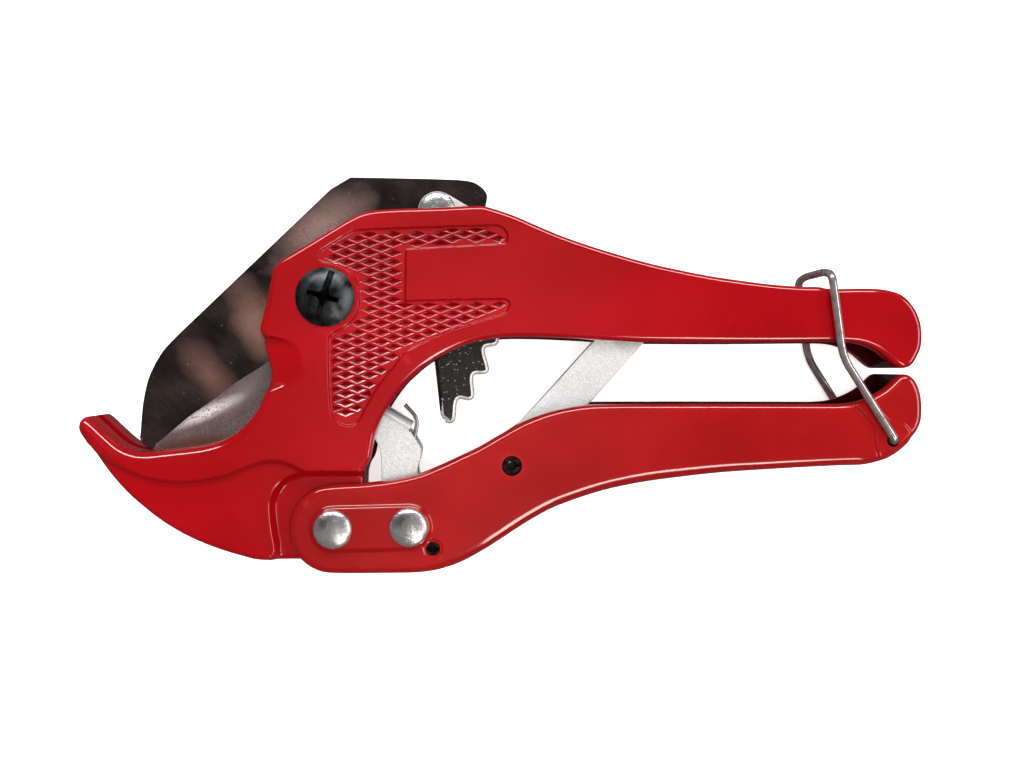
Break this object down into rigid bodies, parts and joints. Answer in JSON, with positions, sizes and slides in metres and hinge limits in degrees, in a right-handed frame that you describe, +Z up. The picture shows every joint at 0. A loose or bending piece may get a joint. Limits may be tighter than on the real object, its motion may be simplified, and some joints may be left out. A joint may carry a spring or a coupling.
{
  "type": "ratcheting pipe cutter",
  "caption": "Hand cutter for plastic pipe: hooked jaw, toothed blade, folding lower handle with drive pawl and links, wire latch.",
  "frame": {"origin": "centre of the cutter's footprint as it lies on its side, on the surface under it", "axes": "+X from the jaw towards the handle ends, +Y from the lower handle to the upper one, +Z up through the tool's thickness"},
  "size_m": [0.2103, 0.1007, 0.029],
  "materials": {
    "red_enamel": "glossy enamel over die-cast aluminium, brighter on the jaw casting",
    "lower_enamel": "glossy enamel over die-cast aluminium, a little browner",
    "blade_steel": "ground and polished tool steel with a frosted bevel",
    "zinc_plate": "bright zinc plate over rolled steel",
    "rivet_nickel": "nickel plate with handling scratches",
    "black_oxide": "black oxide, satin",
    "spring_wire": "drawn spring steel",
    "stainless_wire": "polished stainless wire",
    "pin_steel": "rolled steel, oiled dark",
    "bronze": "bronze washer, satin"
  },
  "bodies": {
    "jaw_body": {"jaw_casting": "red_enamel", "blade_screw": "black_oxide", "blade_nut": "black_oxide", "blade_washer_near": "bronze", "blade_washer_far": "bronze"},
    "handle_body": {"lower_handle": "lower_enamel", "handle_rivet": "rivet_nickel", "pawl_rivet": "rivet_nickel", "pawl_spacer": "zinc_plate", "pawl_spring": "spring_wire", "spring_pin": "pin_steel", "link_pin": "pin_steel", "link_bush_near": "zinc_plate", "link_bush_far": "zinc_plate"},
    "blade_body": {"blade": "blade_steel"},
    "blade_link": {"link_plate_near": "zinc_plate", "link_plate_far": "zinc_plate", "tail_rivet": "rivet_nickel", "joint_rivet": "rivet_nickel"},
    "handle_link": {"link_bar": "zinc_plate"},
    "drive_pawl": {"pawl": "zinc_plate"},
    "latch_body": {"latch": "stainless_wire"}
  },
  "joints": [
    {"name": "handle_pivot", "type": "hinge", "parent": "jaw_body", "child": "handle_body", "pos_m": [-0.04175, -0.0385, 0.015], "axis": [0, 0, 1], "range_deg": [-64, 0]},
    {"name": "blade_pivot", "type": "hinge", "parent": "jaw_body", "child": "blade_body", "pos_m": [-0.04375, 0.0195, 0.015], "axis": [0, 0, 1], "range_deg": [-66, 0]},
    {"name": "blade_link_pivot", "type": "hinge", "parent": "blade_body", "child": "blade_link", "pos_m": [-0.0158, 0.0423, 0.015], "axis": [0, 0, 1], "range_deg": [0, 48.2]},
    {"name": "handle_link_pivot", "type": "hinge", "parent": "handle_body", "child": "handle_link", "pos_m": [0.003, -0.02275, 0.015], "axis": [0, 0, 1], "range_deg": [0, 58.8]},
    {"name": "drive_pawl_pivot", "type": "hinge", "parent": "handle_body", "child": "drive_pawl", "pos_m": [-0.02275, -0.038, 0.015], "axis": [0, 0, 1], "range_deg": [-20, 3], "stiffness_Nm_per_rad": 0.05, "deforming": ["pawl_spring"]},
    {"name": "latch_pivot", "type": "hinge", "parent": "handle_body", "child": "latch_body", "pos_m": [0.0981, -0.0163, 0.015], "axis": [0, 0, 1], "range_deg": [-120, 0]}
  ],
  "couplings": [
    {"joint": "blade_pivot", "follows": "handle_pivot", "ratio": 1.03},
    {"joint": "blade_link_pivot", "follows": "handle_pivot", "ratio": -0.752},
    {"joint": "handle_link_pivot", "follows": "handle_pivot", "ratio": -0.918}
  ]
}
